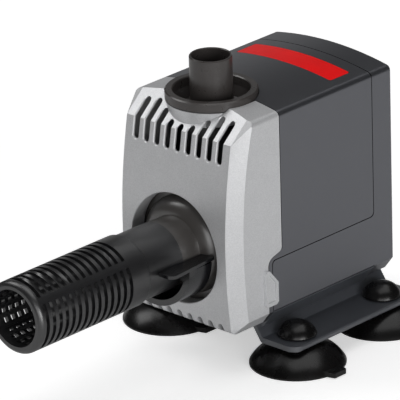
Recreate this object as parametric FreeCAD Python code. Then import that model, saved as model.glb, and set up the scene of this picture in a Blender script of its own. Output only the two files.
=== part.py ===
"""Wave maker pump: a small submersible pump with a strainer on its inlet and suction cup feet.

Millimetres, +Z up. The inlet and strainer point to -Y, the outlet spigot points to +Z and the
cable leaves at +Y. While the parts are made, y = 0 is the seam between the front cover and the
motor housing. save() shifts everything by SEAM_Y, so that the origin lies on the floor, under
the middle of the whole pump.
"""
import FreeCAD
import Part
import math
import os

V = FreeCAD.Vector
VIA = "via"               # marks a point that an outline's arc passes through
Y_AXIS = V(0, 1, 0)
Z_AXIS = V(0, 0, 1)

# whole pump
SEAM_Y = 23.2            # seam to the middle of the pump's length
FIT = 0.3                # gap between pieces that move past each other
GAP = 0.4                # open joint line between casing pieces

# casing section across the pump
HALF_W = 32.7
TOP_Z = 115.0            # crown of the arched top
EDGE_Z = 111.7           # arched top where it meets the side
EDGE_R = 2.6             # rounding along the top edges
UNDER_Z = 19.5
CHAMFER_X = 4.2
CHAMFER_Z = 5.5
ARCH_R = (HALF_W ** 2 + (TOP_Z - EDGE_Z) ** 2) / (2 * (TOP_Z - EDGE_Z))
WALL = 2.4
REAR_Y = 70.0

# seam between the front cover and the housing
JOG_Y = -8.4             # the seam steps forward low on the side
JOG_HIGH_Z = 51.0
JOG_LOW_Z = 48.5

# L-shaped rear shell
SHELL_TOP_Y = 57.5
SHELL_SIDE_Z = 47.5
SHELL_FRONT_Y = -5.7
SHELL_WALL = 2.0

# front cover: y of the face by height, at the flat front and at the side edge of its bevel
BEVEL_IN = 3.5
FACE = [(-25.5, 103.8), (-27.8, 90), (-29.6, 74), (-30.3, 58), (-30.0, 44), (-28.3, 24)]
BEVEL_FACE = [(-15.9, 110.9), (-21.2, 86), (-22.8, 68), (-23.0, 55), (-22.5, 42), (-20.9, 24)]
SLOPE = 0.863            # rise of the sloping top for each millimetre to the rear
LOFT_TOP_Z = 117.0
COVER_UNDER_Z = 20.0

# ventilation slots: height of each one's upper end, from -X to +X
SLOT_PITCH = 5.85
SLOT_W = 3.0
SLOT_BOTTOM_Z = 94.6
SLOT_TOPS = [110.4, 110.9, 108.7, 106.1, 105.6, 106.2, 109.0, 111.2, 110.8]
SLOT_WALL = 1.0          # the cover is thinned to this behind the slots
SLOT_CHAMFER = 0.35
LOW_SLOT_Z = (20.2, 24.4)

# inlet, rotor and pump chamber share one axis along Y
AXIS_Z = 52.5
OPENING_R = 24.0
OPENING_DEPTH_Y = -23.0
OPENING_EDGE = 0.5
CHAMBER_R = 26.5
CAVITY_R = 22.0
CHAMBER_Y = (-20.0, 6.4)
CAVITY_END_Y = 3.5
BULKHEAD_Y = (6.8, 9.8)
CONE_R = 21.4            # the convex cone, from its rim to where it meets the neck
CONE_Y = (-23.4, -29.6)
NECK_R = 14.4
NECK_BORE_R = 12.4
NECK_END_Y = -40.0
SLEEVE_R = 14.7
SLEEVE_END_Y = -60.0
SPIGOT_FIT_R = 13.3
SHAFT_R = 1.5
RUN = 0.06               # running clearance on the shaft
WELL_R = 9.6
WELL_WALL = 1.4
WELL_END_Y = 50.0
ROTOR_R = 9.0
MAGNET_R = 8.2

# strainer cage
CAGE_R = 15.6
CAGE_SHELL_R = 13.7
CAGE_RIB_R = 12.3
CAGE_END_Y = -124.2
CAGE_LIP_R = 13.7        # the tip narrows to this at its end face
CAGE_LIP_Y = -121.9
CAGE_SLOTS = 14
CAGE_PITCH = 3.73
CAGE_SLOT_W = 1.85
CAGE_FIRST_Y = -71.7
CAGE_BAND_ANGLE = 38.5
CAGE_BAND_WIDTH = 12.0
CAGE_RIBS = 20
CAGE_RIB_W = 1.9

# flow regulator
REG_BORE_R = 15.0
REG_R = 20.8
REG_WALL = 1.5
REG_FRONT_Y = -43.0
REG_FLOOR_Y = (-31.2, -29.7)
LEVER_X = (23.3, 21.0)   # its outer edge, at the front and at the rear
LEVER_Y = (-55.7, -29.9)
LEVER_HEEL_Y = -28.0     # rear outer corner, which leans back
LEVER_Z = 52.6
LEVER_T = 1.4
REG_GRIP_ANGLE = 190.0   # the regulator's open ring, which snaps over the neck

# outlet
OUT_Y = -5.2
OUT_R = 9.0
OUT_ROOT_R = 9.3         # the spigot is a little thicker below OUT_STEP_Z
OUT_STEP_Z = 112.0
OUT_BORE_R = 8.0
OUT_TOP_Z = 130.9
DUCT_R = 11.5
SOCKET_R = 9.6
SOCKET_Z = 84.0
CUP_FLOOR_Z = (106.6, 108.0)
RING_R = 19.45
RING_BORE_R = 16.1
RING_Z = (112.5, 116.6)

# coloured inlay in the top
INLAY_X = 26.5
INLAY_Y = (38.5, 50.5)

# base plate and suction cups
FLANGE_X = 46.5
FLANGE_Z = (10.2, 12.5)
FLANGE_Y = (-8.0, 70.0)
BAND_Y = (-6.1, 57.0)
BAND_ROOT_X = 26.8       # where the casing makes room for a band
CREASE_X = 28.0
CUP_X = 36.5
CUP_Y = (4.2, 57.4)
CUP_R = 20.4
CUP_HEAD_R = 8.3
CUP_TAB_R = 24.0
CUP_TAB_W = (11.0, 7.0)  # the pull tab's width at its root and at its end
CUP_STEM_R = 4.2

# motor
CORE_Y = (16.0, 42.0)
CORE_X = (11.4, 21.0)
COIL_Z = (68.0, 90.0)
POTTING_Y = (BULKHEAD_Y[1], 60.0)
GLAND_Z = 34.0


def box(x, y, z):
    """A block between the two ends of each of three ranges."""
    corner = V(min(x), min(y), min(z))
    return Part.makeBox(abs(x[1] - x[0]), abs(y[1] - y[0]), abs(z[1] - z[0]), corner)


def rod_y(radius, y, x=0.0, z=AXIS_Z):
    """A cylinder along Y."""
    return Part.makeCylinder(radius, max(y) - min(y), V(x, min(y), z), Y_AXIS)


def tube_y(outer, inner, y, x=0.0, z=AXIS_Z):
    """A tube along Y."""
    return rod_y(outer, y, x, z).cut(rod_y(inner, (min(y) - 1, max(y) + 1), x, z))


def rod_z(radius, z, x=0.0, y=OUT_Y):
    """A cylinder along Z."""
    return Part.makeCylinder(radius, max(z) - min(z), V(x, y, min(z)), Z_AXIS)


def tube_z(outer, inner, z, x=0.0, y=OUT_Y):
    """A tube along Z."""
    return rod_z(outer, z, x, y).cut(rod_z(inner, (min(z) - 1, max(z) + 1), x, y))


def outline_face(outline, place):
    """A face inside (a, b) points joined by lines. A point marked VIA makes its two neighbours' line an arc.

    The arcs are splines, because a self-crossing torus comes back wrong from a STEP file.
    """
    edges = []
    for i, point in enumerate(outline):
        after = outline[(i + 1) % len(outline)]
        if point[-1] == VIA:
            continue
        if after[-1] == VIA:
            end = outline[(i + 2) % len(outline)]
            arc = Part.Arc(place(*point), place(*after[:2]), place(*end)).toShape()
            spline = arc.Curve.toBSpline(arc.FirstParameter, arc.LastParameter)
            edges.append(spline.toShape())
        else:
            edges.append(Part.makeLine(place(*point), place(*after)))
    return Part.Face(Part.Wire(edges))


def turned_y(outline, z=AXIS_Z):
    """A body of revolution about an axis along Y, from an outline in (radius, y)."""
    face = outline_face(outline, lambda r, y: V(r, y, z))
    return face.revolve(V(0, 0, z), Y_AXIS, 360)


def turned_z(outline, x=0.0, y=OUT_Y):
    """A body of revolution about an upright axis, from an outline in (radius, z)."""
    face = outline_face(outline, lambda r, z: V(x + r, y, z))
    return face.revolve(V(x, y, 0), Z_AXIS, 360)


def rounded(corners, place):
    """A closed wire through (a, b, radius) corners, each rounded with its own radius."""
    flat = [V(a, b, 0) for a, b, _ in corners]
    stops = []
    for i, (_, _, radius) in enumerate(corners):
        here = flat[i]
        back = (flat[i - 1] - here).normalize()
        ahead = (flat[(i + 1) % len(flat)] - here).normalize()
        if radius == 0:
            stops.append((here, None, here))
            continue
        half = back.getAngle(ahead) / 2
        inward = (back + ahead).normalize()
        reach = radius / math.tan(half)
        middle = here + inward * (radius / math.sin(half) - radius)
        stops.append((here + back * reach, middle, here + ahead * reach))
    edges = []
    for i, (start, middle, end) in enumerate(stops):
        if middle is not None:
            edges.append(Part.Arc(place(start), place(middle), place(end)).toShape())
        after = stops[(i + 1) % len(stops)][0]
        edges.append(Part.makeLine(place(end), place(after)))
    return Part.Wire(edges)


def side_prism(corners, x):
    """A prism along X from a rounded outline in (y, z)."""
    wire = rounded(corners, lambda p: V(x[0], p.x, p.y))
    return Part.Face(wire).extrude(V(x[1] - x[0], 0, 0))


def front_prism(corners, y):
    """A prism along Y from a rounded outline in (x, z)."""
    wire = rounded(corners, lambda p: V(p.x, y[0], p.y))
    return Part.Face(wire).extrude(V(0, y[1] - y[0], 0))


def plan_prism(corners, z):
    """A prism along Z from a rounded outline in (x, y)."""
    wire = rounded(corners, lambda p: V(p.x, p.y, z[0]))
    return Part.Face(wire).extrude(V(0, 0, z[1] - z[0]))


def sector_y(inner, outer, y, centre, width):
    """Part of a tube about the inlet axis; angles in degrees, from +X towards +Z."""
    low = math.radians(centre - width / 2)
    high = math.radians(centre + width / 2)
    middle = math.radians(centre)

    def at(radius, angle):
        return V(radius * math.cos(angle), y[0], AXIS_Z + radius * math.sin(angle))

    edges = [
        Part.Arc(at(outer, low), at(outer, middle), at(outer, high)).toShape(),
        Part.makeLine(at(outer, high), at(inner, high)),
        Part.Arc(at(inner, high), at(inner, middle), at(inner, low)).toShape(),
        Part.makeLine(at(inner, low), at(outer, low)),
    ]
    return Part.Face(Part.Wire(edges)).extrude(V(0, y[1] - y[0], 0))


def sector_z(inner, outer, z, centre, width):
    """Part of a tube about the outlet axis; angles in degrees, from +X towards +Y."""
    low = math.radians(centre - width / 2)
    high = math.radians(centre + width / 2)
    middle = math.radians(centre)

    def at(radius, angle):
        return V(radius * math.cos(angle), OUT_Y + radius * math.sin(angle), z[0])

    edges = [
        Part.Arc(at(outer, low), at(outer, middle), at(outer, high)).toShape(),
        Part.makeLine(at(outer, high), at(inner, high)),
        Part.Arc(at(inner, high), at(inner, middle), at(inner, low)).toShape(),
        Part.makeLine(at(inner, low), at(outer, low)),
    ]
    return Part.Face(Part.Wire(edges)).extrude(V(0, 0, z[1] - z[0]))


def save(name, shape):
    """One STEP file for one piece, in the pump's own frame."""
    placed = shape.copy()
    placed.translate(V(0, SEAM_Y, 0))
    placed.exportStep("parts/" + name + ".step")


def casing(inset, y):
    """The casing's section, inset all round, as a solid along Y."""
    half = HALF_W - inset
    radius = ARCH_R - inset
    edge_r = max(EDGE_R - inset, 0.5)
    arch_z = TOP_Z - ARCH_R
    corner_x = half - edge_r
    corner_z = arch_z + math.sqrt((radius - edge_r) ** 2 - corner_x ** 2)
    lean = math.atan2(corner_x, corner_z - arch_z)
    middle = (lean + math.pi / 2) / 2
    slant = math.hypot(CHAMFER_X, CHAMFER_Z)
    side_low_z = UNDER_Z + CHAMFER_Z + inset * (slant - CHAMFER_Z) / CHAMFER_X
    side_low_z = max(side_low_z, UNDER_Z + CHAMFER_Z)
    under_x = HALF_W - CHAMFER_X - inset * 0.5

    def at(x, z):
        return V(x, y[0], z)

    def arch(angle):
        return at(radius * math.sin(angle), arch_z + radius * math.cos(angle))

    def corner(side, angle):
        return at(side * (corner_x + edge_r * math.sin(angle)), corner_z + edge_r * math.cos(angle))

    points = [at(half, corner_z), at(half, side_low_z), at(under_x, UNDER_Z + inset)]
    points += [V(-p.x, p.y, p.z) for p in reversed(points)]
    edges = [Part.makeLine(a, b) for a, b in zip(points, points[1:])]
    edges.append(Part.Arc(points[-1], corner(-1, middle), arch(-lean)).toShape())
    edges.append(Part.Arc(arch(-lean), arch(0), arch(lean)).toShape())
    edges.append(Part.Arc(arch(lean), corner(1, middle), points[0]).toShape())
    return Part.Face(Part.Wire(edges)).extrude(V(0, y[1] - y[0], 0))


def seam_side(shift, far_y):
    """Everything on one side of the cover's seam: ahead of it when far_y is negative."""
    return side_prism([
        (far_y, 0, 0),
        (far_y, 140, 0),
        (shift, 140, 0),
        (shift, JOG_HIGH_Z, 2.0),
        (JOG_Y + shift, JOG_LOW_Z, 4.0),
        (JOG_Y + shift, 0, 0),
    ], (-60, 60))


def shell_side(grow):
    """Everything inside the L-shaped outline of the rear shell."""
    return side_prism([
        (SHELL_TOP_Y - grow, 140, 0),
        (SHELL_TOP_Y - grow, SHELL_SIDE_Z + grow, 2.0),
        (SHELL_FRONT_Y - grow, SHELL_SIDE_Z + grow, 2.0),
        (SHELL_FRONT_Y - grow, 0, 0),
        (110, 0, 0),
        (110, 140, 0),
    ], (-60, 60))


def cover_station(x, face, inset):
    """One upright section of the cover at x, from its face's (y, z) points."""
    points = [V(x, y + inset, z) for y, z in face]
    crease = points[0]
    chin = points[-1]
    slope_top = V(x, crease.y + (LOFT_TOP_Z - crease.z) / SLOPE + inset / 2, LOFT_TOP_Z)
    radius = chin.z - COVER_UNDER_Z
    turn = radius * math.sin(math.radians(45))
    under = V(x, chin.y + radius, COVER_UNDER_Z + inset)
    bend = V(x, chin.y + radius - turn, COVER_UNDER_Z + radius - turn + inset / 2)
    curve = Part.BSplineCurve()
    curve.interpolate(points)
    rear_y = 20.0
    return Part.Wire([
        Part.makeLine(V(x, rear_y, LOFT_TOP_Z), slope_top),
        Part.makeLine(slope_top, crease),
        curve.toShape(),
        Part.Arc(chin, bend, under).toShape(),
        Part.makeLine(under, V(x, rear_y, under.z)),
        Part.makeLine(V(x, rear_y, under.z), V(x, rear_y, LOFT_TOP_Z)),
    ])


def cover_block(inset):
    """The cover's outer form, or its hollow when inset is the wall."""
    wide = HALF_W - inset
    flat = HALF_W - BEVEL_IN - inset * 0.7
    stations = [
        cover_station(-wide, BEVEL_FACE, inset),
        cover_station(-flat, FACE, inset),
        cover_station(flat, FACE, inset),
        cover_station(wide, BEVEL_FACE, inset),
    ]
    block = Part.makeLoft(stations, True, True)
    return block.common(casing(inset, (-60, 40)))


def cup_cone(grow):
    """The outlet cup's outside, grown all round."""
    low_r = 15.3 + grow
    high_r = 17.6 + grow
    return turned_z([(0, CUP_FLOOR_Z[0] - grow), (low_r, CUP_FLOOR_Z[0] - grow),
                     (high_r, RING_Z[0]), (high_r, 125), (0, 125)])


def latch(side):
    """The raised U-shaped clip low on the cover's side, which laps over the housing."""
    outline = [(-11.6, 43.6, 0.8), (-10.6, 44.6, 0.5), (-9.2, 44.6, 0.8), (-4.0, 38.3, 0.8),
               (-4.0, 29.6, 0.8), (-5.2, 28.6, 0.8), (-10.6, 28.6, 0.8), (-11.6, 29.6, 0.8)]
    hollow = [(-10.2, 42.9, 0.6), (-9.3, 42.9, 0.6), (-5.6, 38.4, 0.6), (-5.6, 30.2, 0.6), (-10.2, 30.2, 0.6)]
    raised = side_prism(outline, (side * (HALF_W + FIT), side * (HALF_W + 1.5)))
    recess = side_prism(hollow, (side * (HALF_W + 0.8), side * (HALF_W + 2.0)))
    root = side_prism(outline, (side * (HALF_W - 1.0), side * (HALF_W + FIT)))
    root = root.common(seam_side(0, -60))
    return raised.fuse(root).cut(recess)


def slot_places():
    """The x of each slot's middle and the height of its upper end."""
    middle = (len(SLOT_TOPS) - 1) / 2
    return [((number - middle) * SLOT_PITCH, top_z) for number, top_z in enumerate(SLOT_TOPS)]


def break_slot_edges(cover, skin, x, low_z, high_z):
    """Chamfers the edges of one slot that lie on the cover's skin."""
    reach = SLOT_W / 2 + 0.02
    edges = []
    for edge in cover.Edges:
        bounds = edge.BoundBox
        if bounds.XMin < x - reach or bounds.XMax > x + reach:
            continue
        if bounds.ZMin < low_z - 0.1 or bounds.ZMax > high_z + 0.1:
            continue
        middle = edge.valueAt((edge.FirstParameter + edge.LastParameter) / 2)
        if skin.distToShape(Part.Vertex(middle))[0] < 0.005:
            edges.append(edge)
    return cover.makeChamfer(SLOT_CHAMFER, edges)


def cover_boss():
    """The round boss on the cover's sloping top, which holds the outlet's cup."""
    boss = turned_z([(0, 98), (15.5, 98), (17.3, 105.0), (19.3, 112.2), (0, 112.2)])
    return boss.common(box((-40, 40), (-60, 20), (90, 112.2)))


def cover_hollow():
    """The space inside the cover: its walls are thinner behind the slots, and it keeps the boss."""
    boss_wall = turned_z([(0, 105.4), (17.6, 105.4), (18.9, 112.2), (0, 112.2)])
    sleeve = rod_y(OPENING_R + 2.0, (-40, OPENING_DEPTH_Y)).common(cover_block(0.5))
    behind_slots = box((-27.0, 27.0), (-60, -12.5), (93.4, 112.0)).common(cover_block(SLOT_WALL))
    hollow = cover_block(WALL).cut(sleeve).fuse(behind_slots)
    return hollow.cut(boss_wall)


def front_cover():
    """The silver cover that clips over the pump chamber."""
    block = cover_block(0)
    skin = block.Shells[0]
    cover = block.cut(rod_y(OPENING_R, (-60, 0)))
    rim = [e for e in cover.Edges if e.BoundBox.YMax < -24 and e.BoundBox.XLength > 2 * OPENING_R - 1]
    cover = cover.makeFillet(OPENING_EDGE, rim)
    for x, top_z in slot_places():
        cover = cover.cut(slot_cutter(x, SLOT_BOTTOM_Z, top_z, (-60, -9.0)))
        cover = break_slot_edges(cover, skin, x, SLOT_BOTTOM_Z, top_z)
    through = [slot_cutter(x, SLOT_BOTTOM_Z, top_z, (-60, -12.5)) for x, top_z in slot_places()]
    boss = cover_boss().cut(Part.makeCompound(through))
    cover = cover.fuse(boss).common(seam_side(0, -60)).cut(cover_hollow())
    # the cover slides off forwards, so what clears the outlet is open to the rear
    upper_r = 17.6 + FIT
    lower_r = 15.3 + FIT
    floor_z = CUP_FLOOR_Z[0] - FIT
    cone = cup_cone(FIT)
    cone_slot = front_prism([(-lower_r, floor_z, 0), (lower_r, floor_z, 0), (upper_r, RING_Z[0], 0),
                             (upper_r, 125, 0), (-upper_r, 125, 0), (-upper_r, RING_Z[0], 0)],
                            (OUT_Y, 30))
    ring_z = (RING_Z[0] - FIT, 125)
    ring_slot = box((-RING_R - FIT, RING_R + FIT), (OUT_Y, 30), ring_z)
    duct_slot = box((-DUCT_R - FIT, DUCT_R + FIT), (OUT_Y, 30), (60, 112))
    cover = cover.cut(cone).cut(cone_slot)
    cover = cover.cut(rod_z(RING_R + FIT, ring_z)).cut(ring_slot)
    cover = cover.cut(rod_z(DUCT_R + FIT, (60, 112))).cut(duct_slot)
    for x, _ in slot_places():
        cover = cover.cut(slot_cutter(x, LOW_SLOT_Z[0], LOW_SLOT_Z[1], (-60, -21)))
    return cover.fuse(latch(1)).fuse(latch(-1)).removeSplitter()


def slot_cutter(x, low_z, high_z, y):
    """A slot with round ends, cut along Y."""
    radius = SLOT_W / 2 - 0.01
    half = SLOT_W / 2
    return front_prism([(x - half, low_z, radius), (x + half, low_z, radius),
                        (x + half, high_z, radius), (x - half, high_z, radius)], y)


def rounded_rear(inset):
    """The casing from the front to its rear wall, with its rear edges rounded."""
    solid = casing(inset, (-30, REAR_Y - inset))
    rear = [e for e in solid.Edges
            if all(abs(v.Point.y - (REAR_Y - inset)) < 0.01 for v in e.Vertexes)]
    return solid.makeFillet(1.6, rear)


def motor_housing():
    """The potted motor's casing, with the rotor well and the joint strip behind the cover."""
    outer = rounded_rear(0).cut(shell_side(GAP))
    inner = casing(SHELL_WALL + FIT, (-30, REAR_Y - SHELL_WALL - FIT))
    band = band_block(FIT)
    body = outer.fuse(inner).cut(seam_side(GAP, -60)).cut(band)
    pocket = casing(4.8, (-30, BULKHEAD_Y[0]))
    cavity = casing(4.8, (BULKHEAD_Y[1], REAR_Y))
    cup_seat = rod_z(20.6, (103.4, TOP_Z)).common(casing(1.0, (GAP, 40)))
    body = body.cut(pocket).cut(cavity).fuse(cup_seat)
    body = body.cut(cup_cone(FIT)).cut(rod_z(RING_R + FIT, (RING_Z[0] - FIT, 125)))
    body = body.cut(rod_z(DUCT_R + FIT, (60, 112)))
    well = rod_y(WELL_R + WELL_WALL, (BULKHEAD_Y[0], WELL_END_Y + WELL_WALL))
    boss = tube_y(6.0, 4.6, (45.5, WELL_END_Y))
    body = body.fuse(well).cut(rod_y(WELL_R, (0, WELL_END_Y))).fuse(boss)
    return body.cut(badge_block(0.15)).removeSplitter()


def rear_shell():
    """The L-shaped shell round the bottom and rear of the motor."""
    skin = rounded_rear(0).cut(casing(SHELL_WALL, (-40, REAR_Y - SHELL_WALL)))
    skin = skin.common(shell_side(0)).cut(band_block(FIT))
    return skin.cut(rod_y(5.1, (60, 80), 0, GLAND_Z)).removeSplitter()


def band_block(grow):
    """The room that the base plate's hugging bands take out of the casing's chamfers."""
    low = UNDER_Z - 2
    blocks = []
    for side in (-1, 1):
        root_x = side * (BAND_ROOT_X - grow)
        line = [(side * 36, 25 + grow, 0), (side * (HALF_W - 1.2 - grow), 25 + grow, 0),
                (root_x, 18.5 + grow, 0), (root_x, low, 0), (side * 36, low, 0)]
        blocks.append(front_prism(line, (BAND_Y[0] - grow, BAND_Y[1] + grow)))
    return blocks[0].fuse(blocks[1])


def base_plate():
    """The bracket under the pump: two flanges for the suction cups, webs and hugging bands."""
    thick = FLANGE_Z[1] - FLANGE_Z[0]
    corner = 5.0
    flange = plan_prism([(-FLANGE_X, FLANGE_Y[0], corner), (FLANGE_X, FLANGE_Y[0], corner),
                         (FLANGE_X, FLANGE_Y[1], corner), (-FLANGE_X, FLANGE_Y[1], corner)],
                        (FLANGE_Z[0], FLANGE_Z[1] + 20))
    floor_z = UNDER_Z - FIT - 0.1
    inner_x = CREASE_X - 4.6
    section = [(-FLANGE_X, FLANGE_Z[0], 0.6), (-CREASE_X + 0.9, FLANGE_Z[0], 1.0),
               (-inner_x + 0.9, floor_z - thick, 1.0), (inner_x - 0.9, floor_z - thick, 1.0),
               (CREASE_X - 0.9, FLANGE_Z[0], 1.0), (FLANGE_X, FLANGE_Z[0], 0.6),
               (FLANGE_X, FLANGE_Z[1], 0.6), (CREASE_X, FLANGE_Z[1], 0.8), (inner_x, floor_z, 0),
               (-inner_x, floor_z, 0), (-CREASE_X, FLANGE_Z[1], 0.8), (-FLANGE_X, FLANGE_Z[1], 0.6)]
    plate = front_prism(section, FLANGE_Y).common(flange)
    for side in (-1, 1):
        band = [(side * (CREASE_X - 4.4), 17.1, 0), (side * (CREASE_X - 2.2), 15.2, 2.5),
                (side * (HALF_W - 0.1), 24.6, 0.3), (side * (HALF_W - 1.2), 24.9, 0),
                (side * 27.1, 19.0, 0), (side * (CREASE_X - 4.4), 19.0, 0)]
        plate = plate.fuse(front_prism(band, BAND_Y))
    for x in (-CUP_X, CUP_X):
        for y in CUP_Y:
            plate = plate.cut(rod_z(CUP_STEM_R + FIT, (0, 20), x, y))
    return plate.removeSplitter()


def suction_cup(x, y, tab):
    """A rubber cup whose mushroom head is pushed up through the flange; tab is -1 or 1."""
    under_z = FLANGE_Z[0] - FIT
    head_z = FLANGE_Z[1] + FIT
    top_z = head_z + 6.0
    outline = [(0, 4.6), (10.5, 3.8, VIA), (19.6, 0), (CUP_R, 0), (CUP_R, 0.8), (15.8, 6.0, VIA),
               (6.8, 9.5), (6.6, under_z), (CUP_STEM_R, under_z), (CUP_STEM_R, head_z),
               (CUP_HEAD_R - 0.4, head_z), (CUP_HEAD_R - 0.05, head_z + 0.2, VIA),
               (CUP_HEAD_R, head_z + 0.6), (5.6, head_z + 4.3, VIA), (0, top_z)]
    cup = turned_z(outline, x, y)
    root, end = (width / 2 for width in CUP_TAB_W)
    near = x + tab * 17.5
    far = x + tab * CUP_TAB_R
    pull = plan_prism([(near, y - root, 0), (far, y - end, 0.5), (far, y + end, 0.5), (near, y + root, 0)],
                      (0.3, 2.4))
    return cup.fuse(pull).removeSplitter()


def pump_chamber():
    """The chamber round the impeller, with the duct up to the outlet."""
    body = rod_y(CHAMBER_R, CHAMBER_Y)
    duct = rod_z(DUCT_R, (70, CUP_FLOOR_Z[0]))
    flange = box((-14, 14), CHAMBER_Y, (70, 80))
    body = body.fuse(duct).fuse(flange.common(rod_z(16, (60, 90))))
    body = body.common(box((-40, 40), (-30, CHAMBER_Y[1]), (0, 130)))
    body = body.cut(rod_y(CAVITY_R, (-30, CAVITY_END_Y)))
    body = body.cut(rod_y(WELL_R, (0, 10)))
    body = body.cut(rod_z(OUT_BORE_R, (65, SOCKET_Z + 1)))
    body = body.cut(rod_z(SOCKET_R, (SOCKET_Z, 120)))
    for centre in (0, 180):
        body = body.cut(sector_z(SOCKET_R - 0.3, 10.9, (95, 98.6), centre + 22.5, 75))
        body = body.cut(sector_z(SOCKET_R - 0.3, 10.9, (95, 120), centre + 45, 18))
    return body.removeSplitter()


def chamber_cover():
    """The inlet side of the chamber: plate, convex cone, neck and the front bush's holder."""
    plate_y = CHAMBER_Y[0] - 0.4
    outline = [(NECK_BORE_R, plate_y), (CHAMBER_R, plate_y), (CHAMBER_R, -21.8), (CONE_R, -21.8),
               (CONE_R, CONE_Y[0]), (19.2, -27.4, VIA), (NECK_R, CONE_Y[1]),
               (NECK_R, NECK_END_Y + 0.15), (NECK_R - 0.15, NECK_END_Y), (NECK_BORE_R, NECK_END_Y)]
    body = turned_y(outline)
    for centre in (-150, -90, -30):
        body = body.cut(sector_y(NECK_BORE_R - 1, NECK_R + 1, (-38.5, -31.5), centre, 40))
    hub = rod_y(5.4, (-25.4, plate_y))
    for angle in (90, 210, 330):
        arm = box((0, NECK_BORE_R + 0.6), (-24.4, -21.4), (AXIS_Z - 0.9, AXIS_Z + 0.9))
        arm.rotate(V(0, 0, AXIS_Z), Y_AXIS, angle)
        hub = hub.fuse(arm)
    hub = hub.cut(rod_y(3.6, (-24.2, 0)))
    return body.fuse(hub).removeSplitter()


def inlet_adapter():
    """The sleeve between the chamber cover's neck and the strainer."""
    outline = [(11.0, SLEEVE_END_Y - 9.6), (SPIGOT_FIT_R - 0.4, SLEEVE_END_Y - 9.6),
               (SPIGOT_FIT_R, SLEEVE_END_Y - 9.2), (SPIGOT_FIT_R, SLEEVE_END_Y),
               (SLEEVE_R, SLEEVE_END_Y), (SLEEVE_R, NECK_END_Y - 0.15), (SLEEVE_R - 0.15, NECK_END_Y),
               (NECK_BORE_R, NECK_END_Y), (NECK_BORE_R, NECK_END_Y + 7), (11.0, NECK_END_Y + 7)]
    return turned_y(outline)


def strainer_cage():
    """The slotted cage on the inlet: ring slots outside, long ribs inside, open at its tip."""
    root_y = SLEEVE_END_Y - FIT
    bore = SPIGOT_FIT_R + 0.1
    outline = [(bore, root_y), (15.2, root_y), (CAGE_R, root_y - 0.6), (CAGE_R, CAGE_LIP_Y),
               (15.1, -123.3, VIA), (CAGE_LIP_R, CAGE_END_Y),
               (CAGE_RIB_R, CAGE_END_Y), (CAGE_RIB_R, -120.4), (CAGE_SHELL_R, -120.4),
               (CAGE_SHELL_R, SLEEVE_END_Y - 10.2), (bore, SLEEVE_END_Y - 10.2)]
    cage = turned_y(outline)
    cutters = []
    for number in range(CAGE_SLOTS):
        y = CAGE_FIRST_Y - number * CAGE_PITCH
        for quarter in range(4):
            centre = CAGE_BAND_ANGLE + 45 + quarter * 90
            cutters.append(sector_y(CAGE_SHELL_R - 1, CAGE_R + 1,
                                    (y - CAGE_SLOT_W / 2, y + CAGE_SLOT_W / 2), centre, 90 - CAGE_BAND_WIDTH))
    cage = cage.cut(Part.makeCompound(cutters))
    ribs = []
    for number in range(CAGE_RIBS):
        rib = box((CAGE_RIB_R, CAGE_SHELL_R + 0.2), (-121, SLEEVE_END_Y - 10.4),
                  (AXIS_Z - CAGE_RIB_W / 2, AXIS_Z + CAGE_RIB_W / 2))
        rib.rotate(V(0, 0, AXIS_Z), Y_AXIS, number * 360 / CAGE_RIBS)
        ribs.append(rib)
    return cage.multiFuse(ribs).removeSplitter()


def flow_regulator():
    """The half-cup that turns round the neck, with its flat lever."""
    wall = sector_y(REG_R - REG_WALL, REG_R, (REG_FRONT_Y, REG_FLOOR_Y[1]), -90, 176)
    face = sector_y(REG_BORE_R, REG_R, (REG_FRONT_Y, REG_FRONT_Y + 1.5), -90, 176)
    ring = sector_y(REG_BORE_R, REG_BORE_R + 1.2, REG_FLOOR_Y, -90, REG_GRIP_ANGLE)
    floor = sector_y(REG_BORE_R, REG_R, REG_FLOOR_Y, -90, 176)
    window = sector_y(REG_BORE_R - 1, 18.2, (REG_FRONT_Y - 1, REG_FRONT_Y + 2), -62, 84)
    blade = plan_prism([(REG_BORE_R, LEVER_Y[1], 0), (REG_BORE_R, LEVER_Y[0], 0.5),
                        (LEVER_X[0], LEVER_Y[0], 3.0), (LEVER_X[1], LEVER_HEEL_Y, 0.4)],
                       (LEVER_Z, LEVER_Z + LEVER_T))
    body = wall.fuse(face).fuse(floor).cut(window)
    return body.fuse(ring).fuse(blade).removeSplitter()


def outlet_collar():
    """The cup and ring round the outlet spigot."""
    floor_low, floor_high = CUP_FLOOR_Z
    outline = [(SOCKET_R, floor_low), (15.3, floor_low), (17.6, RING_Z[0]), (RING_R - 0.3, RING_Z[0]),
               (RING_R, RING_Z[0] + 0.3), (RING_R, RING_Z[1] - 0.5), (RING_R - 0.5, RING_Z[1]),
               (RING_BORE_R + 0.4, RING_Z[1]), (RING_BORE_R, RING_Z[1] - 0.4), (RING_BORE_R, RING_Z[0]),
               (14.4, floor_high), (SOCKET_R, floor_high)]
    collar = turned_z(outline)
    for centre in (45, 225):
        collar = collar.cut(sector_z(SOCKET_R - 0.3, 10.9, (100, 120), centre, 18))
    return collar


def outlet_spigot():
    """The hose spigot, a plain tube with two bayonet pins low down."""
    outline = [(OUT_BORE_R, SOCKET_Z + 0.5), (OUT_ROOT_R, SOCKET_Z + 0.5), (OUT_ROOT_R, OUT_STEP_Z),
               (OUT_R, OUT_STEP_Z + 0.3), (OUT_R, OUT_TOP_Z - 0.4), (OUT_R - 0.3, OUT_TOP_Z),
               (OUT_BORE_R + 0.2, OUT_TOP_Z), (OUT_BORE_R, OUT_TOP_Z - 0.2)]
    tube = turned_z(outline)
    seal_z = SOCKET_Z + 4
    tube = tube.cut(tube_z(OUT_R + 1, OUT_R - 0.45, (seal_z, seal_z + 1.8)))
    for side in (-1, 1):
        pin = Part.makeCylinder(1.2, 2.0, V(side * 8.5, OUT_Y, 96.8), V(side, 0, 0))
        tube = tube.fuse(pin)
    return tube.removeSplitter()


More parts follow.
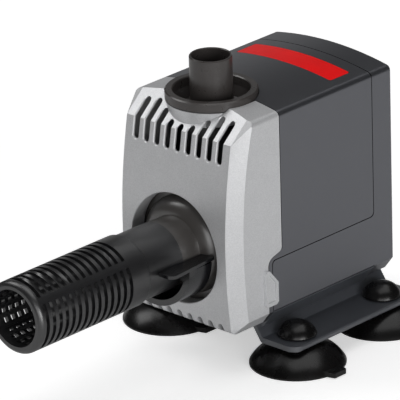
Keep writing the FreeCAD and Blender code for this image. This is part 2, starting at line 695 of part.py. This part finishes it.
def impeller():
    """Six straight blades on a disc, with the dog that the rotor drives."""
    body = rod_y(5.0, (-16.5, 2.5))
    body = body.fuse(rod_y(17.5, (-4.2, -2.6)))
    for number in range(6):
        blade = box((4, 17.5), (-15.0, -3.5), (AXIS_Z - 0.8, AXIS_Z + 0.8))
        blade.rotate(V(0, 0, AXIS_Z), Y_AXIS, number * 60 + 30)
        body = body.fuse(blade)
    body = body.fuse(sector_y(3.2, 5.0, (1.5, 7.2), 47, 40))
    return body.cut(rod_y(SHAFT_R + RUN, (-30, 20))).removeSplitter()


def rotor_carrier():
    """The plastic sleeve round the magnet, with the driving dog at its front."""
    sleeve = rod_y(ROTOR_R, (8.0, 44.5))
    sleeve = sleeve.cut(tube_y(MAGNET_R, 2.6, (10.0, 43.0)))
    sleeve = sleeve.fuse(sector_y(3.2, 5.0, (3.0, 9.0), 90, 40))
    return sleeve.cut(rod_y(SHAFT_R + RUN, (0, 60))).removeSplitter()


def stator_core():
    """The laminated core: two legs, the yoke over them and pole shoes round the well."""
    legs = []
    for side in (-1, 1):
        legs.append(box((side * CORE_X[0], side * CORE_X[1]), CORE_Y, (40, 101)))
        legs.append(box((side * 3.5, side * CORE_X[1]), CORE_Y, (40, 65)))
    core = box((-CORE_X[1], CORE_X[1]), CORE_Y, (92, 101))
    for leg in legs:
        core = core.fuse(leg)
    return core.cut(rod_y(WELL_R + WELL_WALL + 0.3, (0, 60))).removeSplitter()


def bobbin(side):
    """The plastic former round one leg of the core."""
    inner_x = (side * (CORE_X[0] - 0.2), side * (CORE_X[1] + 0.2))
    outer_x = (side * (CORE_X[0] - 1.2), side * (CORE_X[1] + 1.2))
    inner_y = (CORE_Y[0] - 0.2, CORE_Y[1] + 0.2)
    outer_y = (CORE_Y[0] - 1.2, CORE_Y[1] + 1.2)
    body = box(outer_x, outer_y, COIL_Z)
    for z in (COIL_Z[0], COIL_Z[1] - 1.0):
        body = body.fuse(box((side * 6.4, side * 26.0), (11.0, 47.0), (z, z + 1.0)))
    return body.cut(box(inner_x, inner_y, (0, 130))).removeSplitter()


def coil(side):
    """The copper winding on one bobbin."""
    corner = 3.0
    near, far = side * 6.8, side * 25.6
    wound = plan_prism([(near, 11.5, corner), (far, 11.5, corner), (far, 46.5, corner), (near, 46.5, corner)],
                       (COIL_Z[0] + 1.1, COIL_Z[1] - 1.1))
    hole_x = (side * (CORE_X[0] - 1.3), side * (CORE_X[1] + 1.3))
    return wound.cut(box(hole_x, (CORE_Y[0] - 1.3, CORE_Y[1] + 1.3), (0, 130)))


def potting():
    """The resin that fills the motor casing round the stator."""
    fill = casing(4.9, POTTING_Y)
    fill = fill.cut(rod_y(WELL_R + WELL_WALL + 0.1, (0, 60)))
    fill = fill.cut(rod_z(20.7, (103.3, 125)))
    fill = fill.cut(box((-21.1, 21.1), (CORE_Y[0] - 0.1, CORE_Y[1] + 0.1), (39.9, 101.1)))
    for side in (-1, 1):
        fill = fill.cut(box((side * 6.3, side * 26.1), (10.9, 47.1), (COIL_Z[0] - 0.1, COIL_Z[1] + 0.1)))
    fill = fill.cut(box((-7, 7), (10.9, 47.1), (39.9, 101.1)))
    return fill


def cable_gland():
    """The gland at the rear that the cord is sealed in."""
    outline = [(0, 66.4), (4.9, 66.4), (4.9, 70.0), (7.0, 70.0), (7.0, 71.4), (5.8, 72.0),
               (5.2, 76.0), (4.4, 76.8), (0, 76.8)]
    gland = turned_y(outline, GLAND_Z)
    return gland.cut(rod_y(3.2, (68.8, 80), 0, GLAND_Z))


def badge_block(grow):
    """The room that the plain inlay takes in the casing's top."""
    arch = casing(0.5 + grow, (-30, 80))
    half = INLAY_X + grow
    front_y, rear_y = INLAY_Y[0] - grow, INLAY_Y[1] + grow
    outline = [(-half, front_y, 1.0), (half, front_y, 1.0), (half, rear_y, 1.0), (-half, rear_y, 1.0)]
    return plan_prism(outline, (TOP_Z - 5, TOP_Z + 1)).cut(arch)


def accent_inlay():
    """A plain coloured inlay, flush in the casing's top."""
    return badge_block(0).common(casing(0, (-30, 80)))


def build():
    os.makedirs("parts", exist_ok=True)
    save("motor_housing", motor_housing())
    save("rear_shell", rear_shell())
    save("front_cover", front_cover())
    save("base_plate", base_plate())
    save("pump_chamber", pump_chamber())
    save("chamber_gasket", tube_y(26.0, 23.0, (CHAMBER_Y[0] - 0.4, CHAMBER_Y[0])))
    save("chamber_cover", chamber_cover())
    save("front_bush", tube_y(3.6, SHAFT_R, (-24.2, -18.6)))
    save("rear_bush", tube_y(4.6, SHAFT_R, (45.8, WELL_END_Y)))
    save("rotor_shaft", rod_y(SHAFT_R, (-22.5, 49.6)))
    save("rotor_magnet", tube_y(MAGNET_R, 2.6, (10.0, 43.0)))
    save("rotor_carrier", rotor_carrier())
    save("impeller", impeller())
    save("inlet_adapter", inlet_adapter())
    save("strainer_cage", strainer_cage())
    save("flow_regulator", flow_regulator())
    save("outlet_collar", outlet_collar())
    save("outlet_spigot", outlet_spigot())
    seal_z = SOCKET_Z + 4
    save("outlet_seal", tube_z(SOCKET_R - 0.08, OUT_R - 0.45, (seal_z, seal_z + 1.8)))
    save("stator_core", stator_core())
    for name, side in (("left", -1), ("right", 1)):
        save("bobbin_" + name, bobbin(side))
        save("coil_" + name, coil(side))
        for end, y in zip(("front", "rear"), CUP_Y):
            tab = -1 if (name, end) == ("left", "rear") else 1
            save("suction_cup_" + end + "_" + name, suction_cup(side * CUP_X, y, tab))
    save("potting_resin", potting())
    save("cable_gland", cable_gland())
    save("accent_inlay", accent_inlay())


build()
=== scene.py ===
"""The looks of the wave maker pump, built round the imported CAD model.

Metres, +Z up, the inlet and strainer point to -Y and the outlet points up.
"""
import bpy
import math
from mathutils import Matrix, Vector

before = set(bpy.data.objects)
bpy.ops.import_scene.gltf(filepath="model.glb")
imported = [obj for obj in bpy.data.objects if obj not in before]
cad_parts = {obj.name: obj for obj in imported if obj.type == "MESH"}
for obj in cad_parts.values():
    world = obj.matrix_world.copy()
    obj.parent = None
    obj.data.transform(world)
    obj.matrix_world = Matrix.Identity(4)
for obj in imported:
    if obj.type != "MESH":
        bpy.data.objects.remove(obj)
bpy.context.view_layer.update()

MM = 0.001

# groove between the motor housing and the rear shell: its upright and level runs, seen from the side
GROOVE_Y = 80.5 * MM
GROOVE_Z = 47.7 * MM
GROOVE_FRONT_Y = 16.5 * MM
GROOVE_REACH = 0.5 * MM
SIDE_X = 32 * MM         # faces further out than this are the casing's sides
CROWN_Z = 110 * MM       # faces higher than this are the casing's top
SIDE_FACING = 0.9        # the least x of a side face's normal
CROWN_FACING = 0.6       # the least z of a top face's normal

# camera: direction it stands in, and the point it is aimed at
CAMERA_AZIMUTH = 43.71
CAMERA_ELEVATION = 22.3
CAMERA_ROLL = -1.64
CAMERA_DISTANCE = 2.3456
CAMERA_LENS = 506.14
CAMERA_TARGET = Vector((0, 0.0232, 0.050))
CAMERA_OFFSET = (-0.00997, 0.0135)
SENSOR_WIDTH = 36
CLIP_END = 20

# soft lights: direction each one stands in, its side in metres and its power in watts
LIGHT_DISTANCE = 3.0
LIGHT_AIM = Vector((0, 0.02, 0.06))
LIGHTS = {
    "overhead": ((0.05, 0.1, 1.0), 3.2, 40),
    "upper_left": ((-0.64, -0.27, 0.72), 1.5, 22),
    "right": ((0.93, -0.3, 0.12), 1.5, 48),
    "front_right": ((0.6, -0.75, 0.2), 1.5, 16),
    "rear_left": ((-0.65, 0.68, 0.12), 1.5, 2.4),
}
SURROUND_STRENGTH = 0.035

# floor
FLOOR_SIZE = 12
FLOOR_SHADE = 0.92
FLOOR_GLOW = 0.5
FLOOR_ROUGHNESS = 0.9
FLOOR_SPECULAR = 0.1

# noise keeps mostly between these two values, so materials stretch this range
NOISE_LOW = 0.3
NOISE_HIGH = 0.7

# etched grain of the glossy plastics
FINE_GRAIN = 0.3 * MM
FINE_RELIEF = 0.002 * MM


def camera():
    """The camera at the photograph's viewing angle."""
    azimuth = math.radians(CAMERA_AZIMUTH)
    elevation = math.radians(CAMERA_ELEVATION)
    roll = math.radians(CAMERA_ROLL)
    level = Vector((math.cos(azimuth), math.sin(azimuth), 0))
    back = Vector((math.sin(azimuth) * math.cos(elevation),
                   -math.cos(azimuth) * math.cos(elevation), math.sin(elevation)))
    upright = back.cross(level)
    right = level * math.cos(roll) + upright * math.sin(roll)
    up = upright * math.cos(roll) - level * math.sin(roll)
    across, raised = CAMERA_OFFSET
    eye = CAMERA_TARGET + back * CAMERA_DISTANCE + right * across + up * raised
    data = bpy.data.cameras.new("camera")
    data.lens = CAMERA_LENS
    data.sensor_width = SENSOR_WIDTH
    data.clip_end = CLIP_END
    obj = bpy.data.objects.new("camera", data)
    bpy.context.scene.collection.objects.link(obj)
    obj.matrix_world = Matrix((right, up, back)).transposed().to_4x4()
    obj.matrix_world.translation = eye
    bpy.context.scene.camera = obj


def area_light(name, direction, size, watts):
    """A square soft light that shines at the object from the given direction."""
    data = bpy.data.lights.new(name, "AREA")
    data.shape = "SQUARE"
    data.size = size
    data.energy = watts
    obj = bpy.data.objects.new(name, data)
    bpy.context.scene.collection.objects.link(obj)
    toward = Vector(direction).normalized()
    obj.location = LIGHT_AIM + toward * LIGHT_DISTANCE
    obj.rotation_euler = toward.to_track_quat("Z", "Y").to_euler()


def surround():
    """A dim white surround."""
    world = bpy.data.worlds.new("surround")
    world.use_nodes = True
    sky = world.node_tree.nodes["Background"]
    sky.inputs["Color"].default_value = (1, 1, 1, 1)
    sky.inputs["Strength"].default_value = SURROUND_STRENGTH
    bpy.context.scene.world = world


def lay_floor():
    """A plain white floor. Its glow whitens only itself, and the lights do the rest."""
    bpy.ops.mesh.primitive_plane_add(size=FLOOR_SIZE, location=(0, 0, 0))
    floor = bpy.context.object
    floor.name = "floor"
    material = bpy.data.materials.new("floor_white")
    material.use_nodes = True
    shader = material.node_tree.nodes["Principled BSDF"]
    shader.inputs["Base Color"].default_value = (FLOOR_SHADE, FLOOR_SHADE, FLOOR_SHADE, 1)
    shader.inputs["Roughness"].default_value = FLOOR_ROUGHNESS
    shader.inputs["Specular IOR Level"].default_value = FLOOR_SPECULAR
    shader.inputs["Emission Color"].default_value = (1, 1, 1, 1)
    shader.inputs["Emission Strength"].default_value = FLOOR_GLOW
    floor.data.materials.append(material)
    lit = bpy.data.collections.new("lit_by_floor")
    lit.objects.link(floor)
    floor.light_linking.receiver_collection = lit


def studio():
    """A plain pale floor, a dim surround and soft lights."""
    surround()
    for name, (direction, size, watts) in LIGHTS.items():
        area_light(name, direction, size, watts)
    lay_floor()


class Shading:
    """A procedural material in the making: its nodes, and the steps that add to its finish."""

    def __init__(self, name, roughness, metallic=0.0, ior=1.5):
        self.material = bpy.data.materials.new(name)
        self.material.use_nodes = True
        self.nodes = self.material.node_tree.nodes
        self.links = self.material.node_tree.links
        self.shader = self.nodes["Principled BSDF"]
        self.shader.inputs["Metallic"].default_value = metallic
        self.shader.inputs["IOR"].default_value = ior
        self.shader.inputs["Roughness"].default_value = roughness
        self.place = self.nodes.new("ShaderNodeTexCoord").outputs["Object"]

    def noise(self, size, detail, stretch=(1, 1, 1)):
        """Noise whose grains are about size metres across."""
        mapping = self.nodes.new("ShaderNodeMapping")
        mapping.inputs["Scale"].default_value = stretch
        self.links.new(self.place, mapping.inputs["Vector"])
        texture = self.nodes.new("ShaderNodeTexNoise")
        texture.inputs["Scale"].default_value = 1 / size
        texture.inputs["Detail"].default_value = detail
        self.links.new(mapping.outputs["Vector"], texture.inputs["Vector"])
        return texture.outputs["Fac"]

    def between(self, value, low, high):
        """The value's middle range stretched to run from low to high."""
        spread = self.nodes.new("ShaderNodeMapRange")
        spread.inputs["From Min"].default_value = NOISE_LOW
        spread.inputs["From Max"].default_value = NOISE_HIGH
        spread.inputs["To Min"].default_value = low
        spread.inputs["To Max"].default_value = high
        self.links.new(value, spread.inputs["Value"])
        return spread.outputs["Result"]

    def colours(self, first, second, value):
        """Base colour that drifts between two colours."""
        ramp = self.nodes.new("ShaderNodeValToRGB")
        ramp.color_ramp.elements[0].position = NOISE_LOW
        ramp.color_ramp.elements[1].position = NOISE_HIGH
        ramp.color_ramp.elements[0].color = (*first, 1)
        ramp.color_ramp.elements[1].color = (*second, 1)
        self.links.new(value, ramp.inputs["Fac"])
        self.links.new(ramp.outputs["Color"], self.shader.inputs["Base Color"])

    def rough(self, low, high, value):
        """Roughness that drifts between two values."""
        self.links.new(self.between(value, low, high), self.shader.inputs["Roughness"])

    def bump(self, value, height, strength):
        """Relief of the given height in metres."""
        relief = self.nodes.new("ShaderNodeBump")
        relief.inputs["Strength"].default_value = strength
        relief.inputs["Distance"].default_value = height
        self.links.new(value, relief.inputs["Height"])
        self.links.new(relief.outputs["Normal"], self.shader.inputs["Normal"])


def shades(colour, spread):
    """A darker and a lighter shade of a colour."""
    return [tuple(c * (1 - spread) for c in colour), tuple(c * (1 + spread) for c in colour)]


def moulded(name, colour, roughness, grain=0.45 * MM, relief=0.008 * MM, spread=0.06, ior=1.5):
    """Moulded plastic: etched grain, and a slow drift of tone and gloss.

    The high refraction of some plastics stands in for the bright surroundings that they mirror.
    """
    look = Shading(name, roughness, 0.0, ior)
    look.colours(*shades(colour, spread), look.noise(9 * MM, 4))
    look.rough(roughness * 0.97, roughness * 1.04, look.noise(3 * MM, 3))
    look.bump(look.noise(grain, 2), relief, 0.6)
    return look.material


def silver():
    """Silver plastic: pale flakes in a satin coat over fine grain."""
    look = Shading("silver_moulding", 0.42, 0.5)
    flakes = look.nodes.new("ShaderNodeTexVoronoi")
    flakes.inputs["Scale"].default_value = 1 / (0.30 * MM)
    look.links.new(look.place, flakes.inputs["Vector"])
    drift = look.nodes.new("ShaderNodeMath")
    drift.operation = "MULTIPLY_ADD"
    drift.inputs[1].default_value = 0.45
    look.links.new(flakes.outputs["Color"], drift.inputs[0])
    look.links.new(look.between(look.noise(7 * MM, 3), 0.22, 0.30), drift.inputs[2])
    look.colours((0.585, 0.590, 0.602), (0.695, 0.700, 0.712), drift.outputs[0])
    look.rough(0.42, 0.45, look.noise(3 * MM, 3))
    look.bump(look.noise(0.5 * MM, 2), 0.012 * MM, 0.5)
    return look.material


def rubber():
    """Soft black rubber with a faint bloom."""
    look = Shading("soft_rubber", 0.27, ior=1.45)
    look.colours((0.0020, 0.0019, 0.0019), (0.0045, 0.0041, 0.0041), look.noise(9 * MM, 2))
    look.rough(0.265, 0.285, look.noise(6 * MM, 2))
    look.bump(look.noise(0.8 * MM, 1), 0.0002 * MM, 0.4)
    return look.material


def metal(name, colour, roughness, stretch):
    """Bare metal with fine drawn lines along one direction."""
    look = Shading(name, roughness, 1.0)
    look.colours(*shades(colour, 0.10), look.noise(5 * MM, 4))
    look.rough(roughness - 0.08, roughness + 0.10, look.noise(1 * MM, 4, stretch))
    look.bump(look.noise(0.5 * MM, 3, stretch), 0.02 * MM, 0.6)
    return look.material


def in_groove(polygon):
    """Whether a face lies down in the groove between the motor housing and the rear shell."""
    middle = polygon.center
    beside = abs(middle.y - GROOVE_Y) < GROOVE_REACH and middle.z > GROOVE_Z - GROOVE_REACH
    above = abs(middle.z - GROOVE_Z) < GROOVE_REACH and GROOVE_FRONT_Y < middle.y < GROOVE_Y + GROOVE_REACH
    side = abs(polygon.normal.x) > SIDE_FACING and abs(middle.x) > SIDE_X
    crown = polygon.normal.z > CROWN_FACING and middle.z > CROWN_Z
    return (beside or above) and not side and not crown


def shade_groove(names, material):
    """Gives the groove's own faces a near-black painted shade, in a second slot."""
    for name in names:
        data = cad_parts[name].data
        data.materials.append(material)
        for polygon in data.polygons:
            if in_groove(polygon):
                polygon.material_index = 1


def dress():
    """Gives every CAD node its finish."""
    silver_plastic = silver()
    housing_plastic = moulded("housing_plastic", (0.015, 0.0155, 0.0175), 0.34, relief=0.014 * MM, ior=2.5)
    tint = housing_plastic.node_tree.nodes["Principled BSDF"].inputs["Specular Tint"]
    tint.default_value = (0.90, 0.92, 1.0, 1)
    bracket_plastic = moulded("bracket_plastic", (0.050, 0.054, 0.063), 0.34, ior=2.0)
    collar_plastic = moulded("collar_plastic", (0.046, 0.041, 0.039), 0.28, FINE_GRAIN, FINE_RELIEF, ior=1.6)
    chamber_plastic = moulded("chamber_plastic", (0.055, 0.051, 0.048), 0.30, FINE_GRAIN, FINE_RELIEF,
                              ior=1.9)
    black_plastic = moulded("black_plastic", (0.004, 0.004, 0.005), 0.36, FINE_GRAIN, FINE_RELIEF, ior=1.9)
    regulator_plastic = moulded("regulator_plastic", (0.002, 0.002, 0.003), 0.24, FINE_GRAIN, FINE_RELIEF,
                                ior=1.8)
    # near-black painted shade for the faces down in the groove between the motor housing and the rear shell
    groove_painted_shade = moulded("groove_painted_shade", (0.002, 0.002, 0.002), 0.85, ior=1.2)
    soft_rubber = rubber()
    red = moulded("accent_red", (0.95, 0.002, 0.003), 0.42, ior=1.3)
    ceramic = moulded("ceramic", (0.70, 0.68, 0.63), 0.25, 0.2 * MM, 0.005 * MM)
    ferrite = moulded("ferrite", (0.040, 0.038, 0.038), 0.55, 0.3 * MM, 0.03 * MM, 0.2)
    nylon = moulded("bobbin_nylon", (0.62, 0.58, 0.48), 0.45)
    resin = moulded("potting_resin", (0.022, 0.022, 0.024), 0.30, 2 * MM, 0.05 * MM, 0.2)
    copper = metal("copper_wire", (0.72, 0.31, 0.16), 0.32, (1, 1, 9))
    steel = metal("core_steel", (0.42, 0.42, 0.43), 0.42, (1, 12, 1))
    finishes = {
        silver_plastic: ["front_cover"],
        housing_plastic: ["motor_housing", "rear_shell"],
        bracket_plastic: ["base_plate", "cable_gland"],
        collar_plastic: ["outlet_collar", "outlet_spigot"],
        chamber_plastic: ["chamber_cover"],
        black_plastic: ["pump_chamber", "impeller", "rotor_carrier", "inlet_adapter", "strainer_cage"],
        regulator_plastic: ["flow_regulator"],
        soft_rubber: ["chamber_gasket", "front_bush", "rear_bush", "outlet_seal", "suction_cup_front_left",
                      "suction_cup_front_right", "suction_cup_rear_left", "suction_cup_rear_right"],
        red: ["accent_inlay"],
        ceramic: ["rotor_shaft"],
        ferrite: ["rotor_magnet"],
        nylon: ["bobbin_left", "bobbin_right"],
        resin: ["potting_resin"],
        copper: ["coil_left", "coil_right"],
        steel: ["stator_core"],
    }
    for material, names in finishes.items():
        for name in names:
            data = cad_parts[name].data
            data.materials.clear()
            data.materials.append(material)
    # the groove's faces get the painted shade
    shade_groove(["motor_housing", "rear_shell"], groove_painted_shade)


bpy.context.scene.view_settings.view_transform = "Standard"
camera()
studio()
dress()
